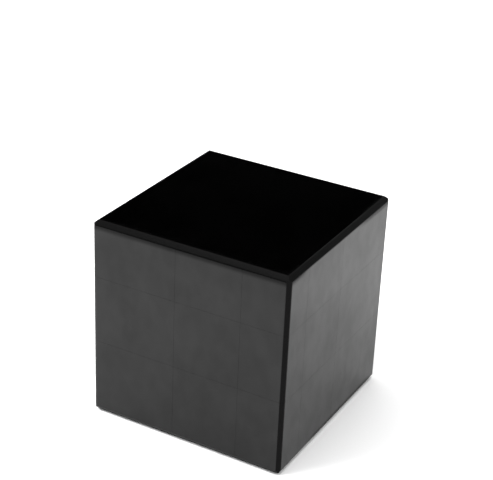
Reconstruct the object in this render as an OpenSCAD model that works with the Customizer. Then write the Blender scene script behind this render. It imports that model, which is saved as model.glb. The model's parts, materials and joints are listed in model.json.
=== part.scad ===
// Mirror block cube: a 3 x 3 x 3 turning puzzle whose layers differ in thickness.
// Solved, its 26 blocks close up into one plain cube with bevelled edges and polished faces.
// Millimetres, +Z up, -Y is the front, origin at the middle of the face it stands on.

/* [Cube] */
// Edge length of the solved cube
cube_size = 57; // [46:1:90]
// Thickness of the middle layer, the same along all three axes
middle_layer = 19; // [15.5:0.5:23]
// Bevel along the edges round the top and the bottom, measured along a face
edge_bevel = 1.3; // [0.5:0.05:2]
// Bevel along the four upright edges, measured along a face
upright_bevel = 1; // [0.5:0.05:2]
// Radius of the rounding where a bevel meets a face
edge_round = 0.8; // [0.1:0.05:0.85]
// Gap between neighbouring blocks where it shows
seam_gap = 0.03; // [0.02:0.01:0.3]
// Wall of the hollow edge and corner blocks
block_wall = 1.8; // [1.4:0.1:2.8]
// Side wall of the centre caps
cap_wall = 1.6; // [1:0.1:2.2]
// Roof of the centre caps
cap_roof = 1.4; // [1:0.1:3]

/* [Turning mechanism] */
// Radius of the ball inside which the hooks swing
ball_r = 15.6; // [13:0.1:19]
// Plastic kept over that ball at the thinnest side
ball_cover = 3.5; // [2.8:0.1:5]
// Radius of the neck between a corner's hook and its block
neck_r = 2.4; // [1.8:0.1:2.9]
// Wall of the square stem that holds a centre's screw and spring
stem_wall = 1.25; // [0.9:0.05:1.8]
// Clearance on each side of a cut inside the cube
play = 0.15; // [0.08:0.01:0.2]
// Circumscribed radius of a corner's hexagonal peg
corner_peg_r = 2.1; // [1.6:0.1:2.4]
// Circumscribed radius of an edge's hexagonal peg
edge_peg_r = 3; // [2:0.1:3.6]
// Distance that a peg stands into the hollow of its block
peg_tip = 0.6; // [0.3:0.1:1.5]
// Height of the boss that locates a centre cap
boss_h = 0.8; // [0.5:0.1:1.2]

/* [Core, screws and springs] */
// Distance from the middle of the core to the end of an arm
core_reach = 10; // [9:0.1:12]
// Radius of the core's six arms
arm_r = 3.6; // [3:0.1:4]
// Radius of the ball in the middle of the core
hub_r = 6.5; // [5:0.1:8]
// Radius of a screw's shank
screw_r = 1.25; // [1:0.05:1.5]
// Distance from the middle of the core to a screw's tip
screw_tip = 3; // [2.6:0.1:5]
// Thickness of a screw's flange
flange_h = 0.6; // [0.4:0.1:1]
// Radius of a screw's head
head_r = 2.4; // [1.8:0.1:2.6]
// Height of a screw's head
head_h = 1.8; // [1.4:0.1:2.4]
// Outer radius of a spring
spring_r = 2.7; // [2.3:0.1:3.2]
// Diameter of the spring wire
wire_d = 0.4; // [0.3:0.05:0.5]
// Length of a spring between its two seats
spring_len = 3.3; // [3:0.1:4.5]
// Turns of a spring
spring_turns = 4; // [3:0.5:5]
// Floor of a centre under its spring
floor_h = 1.7; // [1.2:0.1:2.4]

/* [Hidden] */
$fn = 72;
arc_steps = 5;         // flats in the rounding at each end of a bevel
fit = 0.03;            // clearance of a piece that is pushed or glued into another
bearing_play = 0.08;   // a screw's shank in a centre's floor
thread_play = 0.02;    // a screw's shank in the core
well_play = 0.3;       // a screw's flange in a centre's well
arm_gap = 0.3;         // an arm's end to a centre
hook_gap = 0.5;        // an arm's end to the reach of the hooks
head_room = 0.4;       // over a screw's head
roof_gap = 0.1;        // a centre's boss to the roof of its cap
rim_inset = 1.5;       // depth at which the flat cuts turn into cones
overlap = 1;           // how far a cutting or joining shape runs past a face

flange_r = spring_r + 0.2;
well_r = flange_r + well_play;
stem_in = core_reach + arm_gap;
floor_top = stem_in + floor_h;
flange_z = floor_top + spring_len;
head_z = flange_z + flange_h;
head_top = head_z + head_h;

// The cube's nearest face has to cover both the ball and the stack of spring and screw.
thin_reach = max(ball_r + ball_cover, head_top + head_room + cap_roof);
boss_top = thin_reach - cap_roof - roof_gap;
cap_seat = boss_top - boss_h;
offset_step = (cube_size / 2 - thin_reach) / 3;
offsets = offset_step * [2, -3, 1];
pivot = [offsets.x, offsets.y, cube_size / 2 + offsets.z];

// Half thickness that a middle layer has at the faces, at the necks and at the hooks.
half_mid = middle_layer / 2;
neck_cut = ball_r / sqrt(3) - neck_r * sqrt(2 / 3);
hook_cut = well_r + stem_wall + play;
hook_end_r = core_reach + hook_gap;
rim_r = thin_reach - rim_inset;
neck_rho = sqrt(pow(ball_r, 2) - pow(neck_cut, 2));
far = 2 * cube_size;

SIDES = [-1, 0, 1];
GRID = [for (z = SIDES, y = SIDES, x = SIDES) [x, y, z]];
CENTRES = [for (p = GRID) if (p * p == 1) p];
EDGES = [for (p = GRID) if (p * p == 2) p];
CORNERS = [for (p = GRID) if (p * p == 3) p];

function joined(words, i = 0) = i >= len(words) ? "" : str("_", words[i], joined(words, i + 1));
function place(p) = joined([
    if (p.z != 0) p.z > 0 ? "top" : "bottom",
    if (p.y != 0) p.y > 0 ? "back" : "front",
    if (p.x != 0) p.x > 0 ? "right" : "left"
]);

NODES = concat(
    ["core_hub", "core_screws"],
    [for (p = CENTRES, what = ["spring", "centre_base", "centre_cap"]) str(what, place(p))],
    [for (p = EDGES, what = ["edge_foot", "edge_shell"]) str(what, place(p))],
    [for (p = CORNERS, what = ["corner_foot", "corner_shell"]) str(what, place(p))]
);
node = "all";

// Distance from the pivot to a face, and the middle of the cube seen from the pivot.
function reach(axis, side) = cube_size / 2 - side * offsets[axis];
function norm2(p) = sqrt(p * p);

// Where the hollow of a block begins on the line from the pivot, and where its peg ends.
function hollow_r(p) = max(norm2(p) * (half_mid + block_wall), ball_r + play + block_wall);
function peg_end(p) = hollow_r(p) + peg_tip;

// Turns +Z to point along p.
module along(p) {
    rotate([0, acos(p.z / norm2(p)), atan2(p.y, p.x)]) children();
}

// ---- The cuts: every one is a surface of revolution, so that its layer can turn ----

// Radius and height of the cut between two layers, from its rim inward: flat, then a cone.
function cut_line(seam, inside) = [
    [far, half_mid + seam],
    [rim_r, half_mid + seam],
    [rim_r, half_mid + inside],
    [neck_rho, neck_cut + inside],
    [0, neck_cut + inside]
];

// Everything beyond the upper cut.
module outer_layer() {
    rotate_extrude() polygon(concat(cut_line(seam_gap / 2, play), [[0, far], [far, far]]));
}

// Everything between the two cuts.
module inner_layer() {
    upper = cut_line(-seam_gap / 2, -play);
    lower = [for (i = [len(upper) - 1:-1:0]) [upper[i][0], -upper[i][1]]];
    rotate_extrude() polygon(concat(upper, lower));
}

module layer(axis, side) {
    along(axis)
        if (side == 0) inner_layer();
        else mirror([0, 0, side < 0 ? 1 : 0]) outer_layer();
}

// The space that block p owns outside the ball.
module block_cell(p) {
    intersection() {
        layer([1, 0, 0], p.x);
        layer([0, 1, 0], p.y);
        layer([0, 0, 1], p.z);
    }
}

// A box from near to far on the sides that p names, and as wide as the middle on the others.
module cell_box(p, near, middle, ends) {
    low = [for (a = [0:2]) p[a] > 0 ? near : p[a] < 0 ? -ends[a] : -middle];
    high = [for (a = [0:2]) p[a] > 0 ? ends[a] : p[a] < 0 ? -near : middle];
    translate(low) cube(high - low);
}

function turned(q, a) = [q.x * cos(a) - q.y * sin(a), q.x * sin(a) + q.y * cos(a)];

// A square with bevelled corners, and an arc of edge_round at both ends of each bevel.
module bevelled_square(bevel) {
    middle = [cube_size / 2 - bevel - edge_round * tan(22.5), cube_size / 2 - edge_round];
    polygon([for (quarter = [0:3], end = [0, 1], step = [0:arc_steps])
        let (centre = end == 0 ? middle : [middle.y, middle.x], a = 90 - 45 * (end + step / arc_steps))
        turned(centre + edge_round * [cos(a), sin(a)], -90 * quarter)]);
}

// The solved cube seen from the pivot, with its twelve edges bevelled.
module envelope() {
    translate(-offsets) intersection_for (a = [[1, 0, 0], [0, 1, 0], [0, 0, 1]])
        along(a) linear_extrude(cube_size, center = true)
            bevelled_square(a.z == 0 ? edge_bevel : upright_bevel);
}

// ---- Edge and corner blocks ----

module peg(p, radius, from, to) {
    along(p) translate([0, 0, from]) cylinder(h = to - from, r = radius, $fn = 6);
}

// The hollow outer block, bored for the peg of its foot.
module shell(p, peg_r) {
    ends = [for (a = [0:2]) reach(a, p[a]) - block_wall];
    difference() {
        intersection() {
            envelope();
            block_cell(p);
        }
        sphere(ball_r + play);
        difference() {
            cell_box(p, half_mid + block_wall, half_mid - block_wall, ends);
            sphere(ball_r + play + block_wall);
        }
        peg(p, peg_r + fit, ball_r - overlap, peg_end(p) + fit);
    }
}

// The hook that is caught under the neighbours, with a pad under the block and the peg.
module foot(p, peg_r) {
    wide = [far, far, far];
    difference() {
        intersection() {
            cell_box(p, hook_cut + play, hook_cut - play, wide);
            sphere(ball_r - play);
        }
        sphere(hook_end_r);
    }
    difference() {
        intersection() {
            cell_box(p, neck_cut + 3 * play, hook_cut - play, wide);
            sphere(ball_r + play - fit);
        }
        sphere(ball_r - play - overlap);
    }
    peg(p, peg_r, ball_r - 3 * overlap, peg_end(p));
}

module edge_shell(p) { color("#3a3b3d") shell(p, edge_peg_r); }
module edge_foot(p) { color("#232325") foot(p, edge_peg_r); }
module corner_shell(p) { color("#3a3b3d") shell(p, corner_peg_r); }
module corner_foot(p) { color("#232325") foot(p, corner_peg_r); }

// ---- Centres: both are drawn along +Z and then turned to their face ----

// The half that rides on the screw: stem, spring floor, flange over the ball and boss.
module centre_base(p) {
    side = hook_cut - play;
    boss = half_mid - cap_wall - fit;
    color("#232325") along(p) difference() {
        union() {
            difference() {
                intersection() {
                    block_cell([0, 0, 1]);
                    translate([-far / 2, -far / 2, 0]) cube([far, far, cap_seat]);
                }
                sphere(ball_r + play);
            }
            translate([-side, -side, stem_in]) cube([2 * side, 2 * side, cap_seat - stem_in]);
            translate([-boss, -boss, cap_seat - overlap])
                cube([2 * boss, 2 * boss, boss_h + overlap]);
        }
        translate([0, 0, floor_top]) cylinder(h = far, r = well_r);
        cylinder(h = far, r = screw_r + bearing_play);
    }
}

// The outer block of a centre, open towards its base.
module centre_cap(p) {
    ends = [for (a = [0:2]) p[a] == 0 ? 0 : reach(a, p[a]) - cap_roof];
    color("#3a3b3d") difference() {
        intersection() {
            envelope();
            block_cell(p);
            cell_box(p, cap_seat, far, [far, far, far]);
        }
        cell_box(p, cap_seat - overlap, half_mid - cap_wall, ends);
    }
}

// ---- Core, screws and springs ----

module core_hub() {
    color("#d8d6cf") difference() {
        union() {
            sphere(hub_r);
            for (p = CENTRES) along(p) cylinder(h = core_reach, r = arm_r);
        }
        for (p = CENTRES) along(p) translate([0, 0, screw_tip - thread_play])
            cylinder(h = far, r = screw_r + thread_play);
    }
}

// One screw along +Z: shank, flange that holds the spring, head with a cross recess.
module screw() {
    slot = [2.6, 0.6, 1.1];
    difference() {
        union() {
            translate([0, 0, screw_tip]) cylinder(h = flange_z + flange_h / 2 - screw_tip, r = screw_r);
            translate([0, 0, flange_z]) cylinder(h = flange_h, r = flange_r);
            translate([0, 0, head_z - flange_h / 2]) cylinder(h = head_h + flange_h / 2, r = head_r);
        }
        for (turn = [0, 90]) rotate(turn)
            translate([-slot.x / 2, -slot.y / 2, head_top - slot.z]) cube([slot.x, slot.y, slot.z + overlap]);
    }
}

module core_screws() {
    color("silver") for (p = CENTRES) along(p) screw();
}

// A ring of points round the wire for each step along the helix, and the faces between rings.
module spring(p) {
    ring = 6;
    steps = 14 * spring_turns;
    wire_r = wire_d / 2;
    coil_r = spring_r - wire_r;
    low = floor_top + wire_r + fit;
    rise = spring_len - wire_d - 2 * fit;
    points = [for (i = [0:steps], k = [0:ring - 1])
        let (t = i / steps, turn = 360 * spring_turns * t, a = 360 * k / ring, r = coil_r + wire_r * cos(a))
        [r * cos(turn), r * sin(turn), low + rise * t + wire_r * sin(a)]];
    sides = [for (i = [0:steps - 1], k = [0:ring - 1])
        let (a = i * ring + k, b = i * ring + (k + 1) % ring) [a, a + ring, b + ring, b]];
    ends = [[for (k = [0:ring - 1]) k], [for (k = [ring - 1:-1:0]) steps * ring + k]];
    color("gainsboro") along(p) polyhedron(points, concat(sides, ends));
}

// ---- Nodes ----

function wanted(name) = node == "all" || node == name;

translate(pivot) {
    if (wanted("core_hub")) core_hub();
    if (wanted("core_screws")) core_screws();
    for (p = CENTRES) {
        if (wanted(str("spring", place(p)))) spring(p);
        if (wanted(str("centre_base", place(p)))) centre_base(p);
        if (wanted(str("centre_cap", place(p)))) centre_cap(p);
    }
    for (p = EDGES) {
        if (wanted(str("edge_foot", place(p)))) edge_foot(p);
        if (wanted(str("edge_shell", place(p)))) edge_shell(p);
    }
    for (p = CORNERS) {
        if (wanted(str("corner_foot", place(p)))) corner_foot(p);
        if (wanted(str("corner_shell", place(p)))) corner_shell(p);
    }
}
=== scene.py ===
# %% [markdown]
# # A mirror block cube, solved and closed up
#
# This puzzle turns like any 3 x 3 x 3 cube, but its layers differ in thickness. Solved, its 26 blocks
# close up into one plain cube of polished black plastic with bevelled edges. The blocks, the hooked
# feet behind them, the core, its screws and its springs all come from the CAD model. This script gives
# each of them its finish, draws the springs as round wire, and sets up the light and the camera.
#
# Each step starts with a note on what the real thing is, how it could be made, and why it is made
# this way here. Lengths are in metres, because the CAD model comes in metres.

# %% Load the CAD model
import json
import math

import bpy
from mathutils import Matrix, Vector

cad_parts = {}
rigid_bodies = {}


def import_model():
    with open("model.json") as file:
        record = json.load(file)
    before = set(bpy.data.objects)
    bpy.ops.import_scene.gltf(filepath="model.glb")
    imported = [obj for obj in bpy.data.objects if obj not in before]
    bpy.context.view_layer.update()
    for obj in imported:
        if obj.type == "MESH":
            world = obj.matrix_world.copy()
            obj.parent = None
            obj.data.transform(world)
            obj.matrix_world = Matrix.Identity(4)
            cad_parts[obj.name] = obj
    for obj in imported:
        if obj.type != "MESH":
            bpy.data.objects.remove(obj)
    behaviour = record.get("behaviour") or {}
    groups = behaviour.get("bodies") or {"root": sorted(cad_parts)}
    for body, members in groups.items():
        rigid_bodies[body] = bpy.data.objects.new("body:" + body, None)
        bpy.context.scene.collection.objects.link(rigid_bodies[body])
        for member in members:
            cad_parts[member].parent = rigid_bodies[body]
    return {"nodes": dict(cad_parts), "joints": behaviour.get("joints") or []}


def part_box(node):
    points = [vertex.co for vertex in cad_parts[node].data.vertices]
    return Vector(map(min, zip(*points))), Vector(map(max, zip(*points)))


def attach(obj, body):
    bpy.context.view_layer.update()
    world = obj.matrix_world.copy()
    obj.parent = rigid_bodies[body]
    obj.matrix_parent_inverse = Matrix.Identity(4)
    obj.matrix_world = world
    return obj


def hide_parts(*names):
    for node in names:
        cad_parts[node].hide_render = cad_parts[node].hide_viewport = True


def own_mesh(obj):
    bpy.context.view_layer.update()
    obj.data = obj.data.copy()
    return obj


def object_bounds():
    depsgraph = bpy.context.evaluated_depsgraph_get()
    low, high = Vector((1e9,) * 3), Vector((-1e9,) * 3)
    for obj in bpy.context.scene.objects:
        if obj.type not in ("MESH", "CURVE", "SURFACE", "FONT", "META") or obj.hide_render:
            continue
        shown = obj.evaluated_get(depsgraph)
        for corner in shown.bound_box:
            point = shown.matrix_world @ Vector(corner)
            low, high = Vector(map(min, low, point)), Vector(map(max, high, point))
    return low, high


for left_over in list(bpy.data.objects):
    bpy.data.objects.remove(left_over)
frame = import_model()
nodes = frame["nodes"]
cad_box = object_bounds()

MM = 0.001
low, high = cad_box
half = (high.x - low.x) / 2
middle = (low + high) / 2
print(f"{len(nodes)} CAD nodes in a cube of {2 * half / MM:.1f} mm")

# %% [markdown]
# ## The camera
#
# Distance decides how a cube reads: from far away its edges stay nearly parallel, and from close by they
# run together. This camera stands about 38 cm away and looks down on the top, the front and a narrower
# right side, so the upright edges draw together towards the table. A Track To constraint could aim it,
# but a matrix built from three angles also keeps the small roll of a camera held by hand.

# %% Place the camera
CAMERA_PLACE = Vector((157.7, -289.5, 212.1)) * MM
AZIMUTH, ELEVATION, ROLL = 28.46, 26.54, 2.54
LENS_MM, SENSOR_MM = 102.4, 36


def aim(azimuth, elevation, roll=0.0):
    """Rotation of something at that azimuth and elevation that looks at the middle, along its own -Z."""
    turn = Matrix.Rotation(math.radians(azimuth), 4, "Z")
    tilt = Matrix.Rotation(math.radians(90 - elevation), 4, "X")
    return turn @ tilt @ Matrix.Rotation(math.radians(roll), 4, "Z")


def put(data, name, matrix):
    """A new object that holds data, in its place in the scene."""
    thing = bpy.data.objects.new(name, data)
    bpy.context.scene.collection.objects.link(thing)
    thing.matrix_world = matrix
    return thing


lens = bpy.data.cameras.new("camera")
lens.lens, lens.sensor_width = LENS_MM, SENSOR_MM
lens.clip_start, lens.clip_end = 10 * MM, 50
camera = put(lens, "camera", Matrix.Translation(CAMERA_PLACE) @ aim(AZIMUTH, ELEVATION, ROLL))
bpy.context.scene.camera = camera
print(f"camera {(CAMERA_PLACE - middle).length / MM:.0f} mm from the middle of the cube")

# %% [markdown]
# ## Writing node graphs as Python
#
# A finish is a graph of nodes. Wired by hand, a line such as `1 - mask` takes three statements. A small
# class that wraps an output socket lets the same thing be written as arithmetic: every operator adds one
# Math node and returns its output. Colours don't go through it, because a Math node would turn them grey,
# so they have a Mix node of their own. Every other node comes from one method, which takes the node's
# type, its settings, and what goes into its sockets.


# %% Sockets in expressions, and the graph that holds them
class Wire:
    """An output socket that can stand in a sum."""

    def __init__(self, graph, socket):
        self.graph = graph
        self.socket = socket

    def maths(self, operation, *terms):
        return self.graph.node("ShaderNodeMath", {"operation": operation}, dict(enumerate(terms)))

    def __add__(self, other):
        return self.maths("ADD", self, other)

    def __sub__(self, other):
        return self.maths("SUBTRACT", self, other)

    def __rsub__(self, other):
        return self.maths("SUBTRACT", other, self)

    def __mul__(self, other):
        return self.maths("MULTIPLY", self, other)

    def __abs__(self):
        return self.maths("ABSOLUTE", self)

    __radd__ = __add__
    __rmul__ = __mul__

    def most(self, other):
        return self.maths("MAXIMUM", self, other)

    def least(self, other):
        return self.maths("MINIMUM", self, other)

    def ramp(self, start, end, before=0.0, after=1.0):
        """The value before up to start, the value after from end on, and a smooth change in between."""
        terms = {"Value": self, "From Min": start, "From Max": end, "To Min": before, "To Max": after}
        return self.graph.node("ShaderNodeMapRange", {"interpolation_type": "SMOOTHSTEP"}, terms)


class Graph:
    """A tree of nodes, filled one call at a time."""

    def __init__(self, tree):
        self.tree = tree
        self.tree.nodes.clear()

    def add(self, kind, settings, terms):
        """A new node. Its settings come first, because they decide which sockets it has."""
        made = self.tree.nodes.new(kind)
        for name, value in settings.items():
            setattr(made, name, value)
        for name, value in terms.items():
            if isinstance(value, Wire):
                self.tree.links.new(value.socket, made.inputs[name])
            else:
                made.inputs[name].default_value = value
        return made

    def node(self, kind, settings, terms, out=0):
        """The same, but what comes back is one of its outputs."""
        return Wire(self, self.add(kind, settings, terms).outputs[out])

    def apart(self, vector):
        """The three coordinates of a vector."""
        split = self.add("ShaderNodeSeparateXYZ", {}, {"Vector": vector})
        return [Wire(self, socket) for socket in split.outputs]


# %% [markdown]
# ## Soft roundings
#
# Where a bevel meets a face, the mould leaves a small rounding. The CAD model has it as a few narrow flats,
# and a mirror finish would show each of them as a stripe. Subdividing them would change the mesh for
# nothing. Light follows the normals, so it is enough to make the piece smooth across shallow edges,
# keep it sharp across the others, and let the big flats pull the normals at their rims straight. A
# geometry graph tells the two kinds of edge apart by their angle, and a Weighted Normal modifier does
# the pulling. The CAD model itself isn't touched, because modifiers act on a copy.

# %% Smooth the shallow edges of every piece
SHARP_ANGLE = math.radians(24)
SAME_POINT = 0.001 * MM


def soft_roundings():
    group = bpy.data.node_groups.new("soft_roundings", "GeometryNodeTree")
    for way in ("INPUT", "OUTPUT"):
        group.interface.new_socket("Geometry", in_out=way, socket_type="NodeSocketGeometry")
    graph = Graph(group)
    piece = graph.node("NodeGroupInput", {}, {})
    whole = graph.node("GeometryNodeMergeByDistance", {}, {"Geometry": piece, "Distance": SAME_POINT})
    smooth = graph.node("GeometryNodeSetShadeSmooth", {}, {"Geometry": whole})
    angle = graph.node("GeometryNodeInputMeshEdgeAngle", {}, {})
    steep = angle.maths("GREATER_THAN", angle, SHARP_ANGLE)
    edges = {"Geometry": smooth, "Selection": steep, "Shade Smooth": False}
    split = graph.node("GeometryNodeSetShadeSmooth", {"domain": "EDGE"}, edges)
    graph.add("NodeGroupOutput", {}, {"Geometry": split})
    return group


roundings = soft_roundings()


def soften(piece):
    piece.modifiers.new("roundings", "NODES").node_group = roundings
    normals = piece.modifiers.new("flats", "WEIGHTED_NORMAL")
    normals.keep_sharp = True


for piece in nodes.values():
    soften(piece)
print(f"edges steeper than {math.degrees(SHARP_ANGLE):.0f} degrees stay sharp")

# %% [markdown]
# ## What every finish shares
#
# All the patterns here are made of noise, read at the place of a point in the piece's own coordinates.
# Those are the CAD model's coordinates, so a pattern keeps its size in millimetres, runs on from block
# to block while the cube is solved, and goes along with a block when it turns. Unwrapped images could
# do the same, but a solid pattern needs no seams on pieces that are cut as freely as these.


# %% A finish
MIX_FIRST, MIX_SECOND, MIX_COLOUR = 6, 7, 2     # the colour sockets of a Mix node, into it and out of it


def grey(level):
    return (level, level, level)


class Finish(Graph):
    """A material with its usual nodes."""

    def __init__(self, name):
        self.material = bpy.data.materials.new(name)
        self.material.use_nodes = True
        super().__init__(self.material.node_tree)
        self.place = self.node("ShaderNodeTexCoord", {}, {}, "Object")

    def noise(self, size, detail=2.0, stretch=(1, 1, 1)):
        """Clouds of that size, in metres, with values around a half."""
        place = self.node("ShaderNodeMapping", {}, {"Vector": self.place, "Scale": stretch})
        terms = {"Vector": place, "Scale": 1 / size, "Detail": detail}
        return self.node("ShaderNodeTexNoise", {}, terms)

    def between(self, amount, first, second):
        """A colour that goes from first to second as amount goes from 0 to 1."""
        mix = self.add("ShaderNodeMix", {"data_type": "RGBA"}, {"Factor": amount})
        mix.inputs[MIX_FIRST].default_value = (*first, 1)
        mix.inputs[MIX_SECOND].default_value = (*second, 1)
        return Wire(self, mix.outputs[MIX_COLOUR])

    def bump(self, height, depth):
        """Normals of a surface that rises by depth, in metres, as height goes from 0 to 1."""
        return self.node("ShaderNodeBump", {}, {"Height": height, "Distance": depth})

    def principled(self, terms):
        return self.node("ShaderNodeBsdfPrincipled", {}, terms)

    def mixed(self, amount, first, second):
        """A finish that goes from first to second as amount goes from 0 to 1."""
        return self.node("ShaderNodeMixShader", {}, {0: amount, 1: first, 2: second})

    def done(self, shader):
        self.add("ShaderNodeOutputMaterial", {}, {"Surface": shader})
        print(f"{self.material.name}: {len(self.tree.nodes)} nodes")
        return self.material


# %% [markdown]
# ## Polished black blocks
#
# The outside of each block is buffed until it mirrors the table. The bevels are scraped and stay dull, and
# the cut sides inside the puzzle keep the half gloss they had when they left the mould. All three are
# parts of one piece, so its finish has to know where it is. The faces lie exactly half an edge from the
# middle of the cube, so the largest of the three distances finds them: it drops off within a tenth of a
# millimetre on a bevel. The second largest finds the bevels. A Bevel node could find edges too, but it
# works only in one renderer, and the exported model would lose it. The finish itself is a mirror mixed into
# a dull black, and those masks set the share of the mirror.
#
# A mirror shows clouds where the buffing wheel pressed less, and fine hairlines where cloths wiped it. The
# wheel also rolls over the rims at the top and bottom here and there, so the mirror fades towards them.

# %% Make the polished black
BEVEL_REACH = 1.6 * MM      # how far in from an edge its bevel and roundings begin
RIM = 1.3 * MM              # width of the strip along a rim that the wheel may roll over
FADE = 0.1 * MM             # depth over which the polish ends
SHINE = 0.83                # share of a full mirror that the best of the polish reaches


def polished_black():
    finish = Finish("polished_black_finish")
    x, y, z = finish.apart(finish.place)
    x, y, z = abs(x), abs(y), abs(z - half)
    furthest = x.most(y).most(z)
    second = x.least(y).most(x.most(y).least(z))
    polished = furthest.ramp(half - FADE, half - FADE / 10)
    scraped = (1 - polished) * second.ramp(half - BEVEL_REACH - FADE, half - BEVEL_REACH)
    moulded = 1 - polished - scraped

    clouds = finish.noise(13 * MM, 4).ramp(0.34, 0.66)
    smears = finish.noise(3.5 * MM, 3, (1, 1, 0.6)).ramp(0.34, 0.66)
    hairlines = finish.noise(0.5 * MM, 1, (1, 1, 0.03)).ramp(0.62, 0.74)
    rolled = finish.noise(45 * MM, 0).ramp(0.53, 0.45) * second.least(z).ramp(
        half - BEVEL_REACH - RIM, half - BEVEL_REACH)
    tint = finish.between(clouds, grey(0.00005), grey(0.0002))
    mirror = finish.principled({
        "Base Color": tint, "IOR": 1.42,
        "Roughness": smears * 0.05 + hairlines * 0.04 + moulded * 0.25 + scraped * 0.3 + 0.01,
        "Normal": finish.bump(finish.noise(11 * MM, 1), 0.01 * MM)})

    grain = finish.noise(0.2 * MM, 3)
    dull = finish.principled({
        "Base Color": finish.between(grain * (1 - polished), grey(0.0001), grey(0.004)),
        "Roughness": grain * 0.2 + 0.35, "Specular IOR Level": 0.025,
        "Normal": finish.bump(grain, 0.005 * MM)})
    buffed = (SHINE - rolled * 0.5) * (1 - clouds * 0.1 - smears * 0.08)
    gloss = polished * buffed + moulded * 0.4 + scraped * 0.08
    return finish.done(finish.mixed(gloss, dull, mirror))


# %% [markdown]
# ## Black plastic of the feet and centres
#
# Feet, hooks and the bases of the centres are moulded in the same black plastic and never polished. What
# shows on such a part is the fine texture of the eroded mould, and slightly shinier patches where the
# plastic met the steel first. One noise at a fifth of a millimetre does the texture, as bump and as
# roughness, and a larger one the patches.


# %% Make the inner plastic
def inner_plastic():
    finish = Finish("inner_plastic_finish")
    grain = finish.noise(0.2 * MM, 3)
    patches = finish.noise(9 * MM, 2)
    return finish.done(finish.principled({
        "Base Color": finish.between(patches, (0.010, 0.010, 0.011), (0.016, 0.016, 0.017)),
        "Roughness": grain * 0.15 + patches * 0.15 + 0.28,
        "Normal": finish.bump(grain, 0.006 * MM)}))


# %% [markdown]
# ## Ivory plastic of the core
#
# Cores are usually moulded in a tougher, uncoloured plastic, which comes out as a warm ivory. It is a
# little darker and yellower where the melt flowed together, so its two tones follow a broad noise that
# is stretched along the upright arm.


# %% Make the core plastic
def core_plastic():
    finish = Finish("core_plastic_finish")
    flow = finish.noise(6 * MM, 3, (1, 1, 0.4))
    grain = finish.noise(0.3 * MM, 2)
    return finish.done(finish.principled({
        "Base Color": finish.between(flow, (0.62, 0.59, 0.52), (0.74, 0.72, 0.66)),
        "Roughness": grain * 0.2 + 0.3,
        "Normal": finish.bump(grain, 0.008 * MM)}))


# %% [markdown]
# ## Zinc-plated screws
#
# The screws are turned on a lathe and then plated. Turning leaves rings round the axis. All six screws
# are one CAD node with six axes, so no single direction fits. But every ring lies at one distance from the
# middle of the core along its own axis, and for a point close to an axis that is simply the largest
# of its three distances, which a sine turns into rings.

# %% Make the screw steel
RING = 0.12 * MM            # from one turning mark to the next
core_low, core_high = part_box("core_hub")
pivot = (core_low + core_high) / 2


def screw_steel():
    finish = Finish("screw_steel_finish")
    x, y, z = finish.apart(finish.place)
    along = abs(x - pivot.x).most(abs(y - pivot.y)).most(abs(z - pivot.z))
    marks = along.maths("SINE", along * (2 * math.pi / RING), 0.0)
    plating = finish.noise(1.5 * MM, 3)
    return finish.done(finish.principled({
        "Base Color": finish.between(plating, (0.48, 0.49, 0.50), (0.62, 0.62, 0.61)),
        "Metallic": 1.0,
        "Roughness": plating * 0.2 + marks * 0.05 + 0.18,
        "Normal": finish.bump(marks, 0.004 * MM)}))


# %% [markdown]
# ## Spring wire
#
# Spring wire is drawn through a die until it shines, so it is the brightest metal here. The die leaves
# faint scores, and the heat treatment a slight straw tint that comes and goes.


# %% Make the spring steel
def spring_steel():
    finish = Finish("spring_steel_finish")
    heat = finish.noise(2.5 * MM, 2)
    scores = finish.noise(0.08 * MM, 2, (1, 1, 0.3))
    return finish.done(finish.principled({
        "Base Color": finish.between(heat, (0.60, 0.58, 0.54), (0.68, 0.68, 0.68)),
        "Metallic": 1.0,
        "Roughness": scores * 0.15 + 0.1,
        "Normal": finish.bump(scores, 0.002 * MM)}))


# %% [markdown]
# ## Putting the finishes on
#
# Every CAD node comes with a plain material that is named after its slot in the part's record. So the
# finishes can be handed out by that name, and a node that is added later gets the right one too.

# %% Give every CAD node its finish
finishes = {
    "polished_black": polished_black(),
    "inner_plastic": inner_plastic(),
    "core_plastic": core_plastic(),
    "screw_steel": screw_steel(),
    "spring_steel": spring_steel(),
}
for piece in nodes.values():
    for place, plain in enumerate(piece.data.materials):
        piece.data.materials[place] = finishes[plain.name]
print("finishes on", len(nodes), "nodes")

# %% [markdown]
# ## Springs
#
# Behind each centre a spring pushes the block inward, so that the layers stay pressed together and still
# give a little when they turn. The CAD spring is a helix of coarse rings. A curve with a round bevel would
# be smoother, but it needs converting before it can be squeezed, so the wire is drawn as a mesh at once.
# It has rings of points across the wire, closer turns at both ends, as on a ground spring, and flat ends.
#
# A spring lies between the floor of its centre, which moves out by a millimetre, and the flange of its
# screw, which stays. How far that would squeeze it is worked out and printed, but the wire keeps its full
# length.

# %% Measures of a spring
SIDES = {
    "top": Vector((0, 0, 1)), "bottom": Vector((0, 0, -1)), "right": Vector((1, 0, 0)),
    "left": Vector((-1, 0, 0)), "back": Vector((0, 1, 0)), "front": Vector((0, -1, 0)),
}
TURNS = 4
CLOSED_TURNS = 1            # turns at each end that lie against the next
CLOSED_PITCH = 1.05         # rise of such a turn, in wire diameters
WIRE = 0.4 * MM
STEPS_PER_TURN, POINTS_ROUND_WIRE = 32, 10


def reach(node, side):
    """How far a node reaches from the pivot along a side: where it starts and where it ends."""
    corners = [(corner - pivot).dot(side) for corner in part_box(node)]
    return min(corners), max(corners)


seat, flange = reach("spring_top", SIDES["top"])
coil_radius = (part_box("spring_top")[1].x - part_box("spring_top")[0].x) / 2 - WIRE / 2
print(f"springs {(flange - seat) / MM:.2f} mm long, wire on a radius of {coil_radius / MM:.2f} mm")


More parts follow.
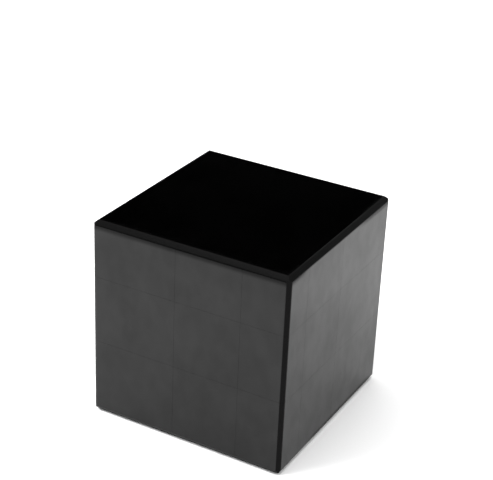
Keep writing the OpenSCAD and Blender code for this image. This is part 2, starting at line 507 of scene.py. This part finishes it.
# %% Wind one spring along +Z
def wire_centre(share):
    """The middle of the wire at that share of its turns, from 0 to 1."""
    angle = 2 * math.pi * TURNS * share
    closed = CLOSED_TURNS / TURNS
    rise_closed = CLOSED_PITCH * CLOSED_TURNS * WIRE
    height = flange - seat - WIRE
    ease = min(1.0, max(0.0, (share - closed) / (1 - 2 * closed)))
    lower = min(share / closed, 1.0) * rise_closed
    upper = max(0.0, (share - 1 + closed) / closed) * rise_closed
    z = lower + upper + ease * (height - 2 * rise_closed)
    return Vector((coil_radius * math.cos(angle), coil_radius * math.sin(angle), seat + WIRE / 2 + z))


def spring_mesh(name):
    steps = TURNS * STEPS_PER_TURN
    points, faces = [], []
    for step in range(steps + 1):
        centre = wire_centre(step / steps)
        outward = Vector((centre.x, centre.y, 0)).normalized()
        for k in range(POINTS_ROUND_WIRE):
            a = 2 * math.pi * k / POINTS_ROUND_WIRE
            points.append(centre + WIRE / 2 * (math.cos(a) * outward + math.sin(a) * Vector((0, 0, 1))))
    for step in range(steps):
        for k in range(POINTS_ROUND_WIRE):
            near, far = step * POINTS_ROUND_WIRE, (step + 1) * POINTS_ROUND_WIRE
            after = (k + 1) % POINTS_ROUND_WIRE
            faces.append((near + after, near + k, far + k, far + after))
    first = list(range(POINTS_ROUND_WIRE))
    faces.append(tuple(first))
    faces.append(tuple(steps * POINTS_ROUND_WIRE + k for k in reversed(first)))
    mesh = bpy.data.meshes.new(name)
    mesh.from_pydata(points, [], faces)
    mesh.polygons.foreach_set("use_smooth", [True] * (len(faces) - 2) + [False] * 2)
    return mesh


# %% Put a spring behind every centre
travel = {joint["child"]: joint for joint in frame["joints"] if joint["type"] == "slide"}
for side, outward in SIDES.items():
    turn = Vector((0, 0, 1)).rotation_difference(outward).to_matrix().to_4x4()
    mesh = spring_mesh(f"wire_{side}")
    mesh.transform(Matrix.Translation(pivot) @ turn)
    mesh.materials.append(finishes["spring_steel"])
    spring = put(mesh, f"wire_spring_{side}", Matrix.Identity(4))
    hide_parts(f"spring_{side}")
    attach(spring, "core")
    joint = travel[f"{side}_centre"]
    length = flange - seat
    keep = (length - joint["range_m"][1]) / length
    pivot + flange * outward
    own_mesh(spring)
print(f"{len(SIDES)} springs of {len(mesh.vertices)} points, squeezed to {keep:.0%}")

# %% [markdown]
# ## The floor
#
# A plain white table, matt so that it shows no second cube. It could be a sheet that curves up behind, but
# a wide disc looks the same from every side, and the light above its rim does the rest.

# %% Lay the floor
FLOOR_RADIUS = 6.0
FLOOR_DROP = 0.01 * MM      # keeps the floor and the cube from sharing a plane


def white_table():
    finish = Finish("white_table_finish")
    fibre = finish.noise(0.6 * MM, 2)
    return finish.done(finish.principled({
        "Base Color": finish.between(fibre, grey(0.83), grey(0.86)),
        "Roughness": 0.9, "Specular IOR Level": 0.0}))


bpy.ops.mesh.primitive_circle_add(vertices=128, radius=FLOOR_RADIUS, fill_type="NGON")
floor = bpy.context.object
floor.name = "floor"
floor.location.z = low.z - FLOOR_DROP
floor.data.materials.append(white_table())

# %% [markdown]
# ## Light
#
# A polished black cube has no colour of its own to show: its faces are pictures of what they face. Here
# the sides mirror the bright table and come out grey, and the top mirrors a dark room and comes out
# black. A lamp in the wrong place would show up as a white patch on a bevel. In a studio it is moved until
# no face catches it. Here each lamp has one job instead. Two of them light the table and are kept out of
# reflections: a softbox at the front left, which leaves a faint shadow at the back right, and a wide light
# from the ceiling, which darkens the table only where the cube stands in its way. The other two show only
# as a gleam in the top: one is seen from high up at the back right, the other from the front left.


# %% Place the lamps
def sun(name, azimuth, elevation, spread, strength):
    """Even light from a patch of sky that is spread degrees wide, kept out of reflections."""
    lamp = bpy.data.lights.new(name, "SUN")
    lamp.energy = strength
    lamp.angle = math.radians(spread)
    thing = put(lamp, name, Matrix.Translation(middle) @ aim(azimuth, elevation))
    thing.visible_glossy = False
    return thing


def softbox(name, azimuth, elevation, distance, size, power):
    """A lamp with a rectangular screen, at that distance from the middle of the cube and facing it."""
    lamp = bpy.data.lights.new(name, "AREA")
    lamp.shape = "RECTANGLE"
    lamp.size, lamp.size_y = size
    lamp.energy = power
    place = Matrix.Translation(middle) @ aim(azimuth, elevation)
    return put(lamp, name, place @ Matrix.Translation((0, 0, distance)))


softbox("key_light", -50, 48, 0.6, (0.3, 0.3), 4.1).visible_glossy = False
sun("ceiling_light", 0, 90, 120, 4.5)
softbox("overhead_softbox", -45, 66, 0.9, (0.4, 0.4), 3).visible_diffuse = False
softbox("back_softbox", 162, 30, 0.8, (0.25, 0.25), 0.6).visible_diffuse = False
print(len(bpy.data.lights), "lamps")

# %% [markdown]
# ## The room
#
# The table runs out into a pale band at the horizon, so that a low camera sees no dark edge behind it.
# Above that the room is dark, up to a faint glow under the ceiling. A world colour can be any
# expression of the direction, and the height of a direction is its Z.

# %% Paint the room
world = bpy.data.worlds.new("room")
bpy.context.scene.world = world
world.use_nodes = True
room = Graph(world.node_tree)
height = room.apart(room.node("ShaderNodeTexCoord", {}, {}, "Generated"))[2]
glow = height.ramp(0.06, 0.22, 1.3, 0.0) + height.ramp(0.55, 1.0, 0.0, 0.5)
background = room.node("ShaderNodeBackground", {}, {"Strength": glow})
room.add("ShaderNodeOutputWorld", {}, {"Surface": background})
bpy.context.scene.view_settings.view_transform = "Standard"
print("room painted")
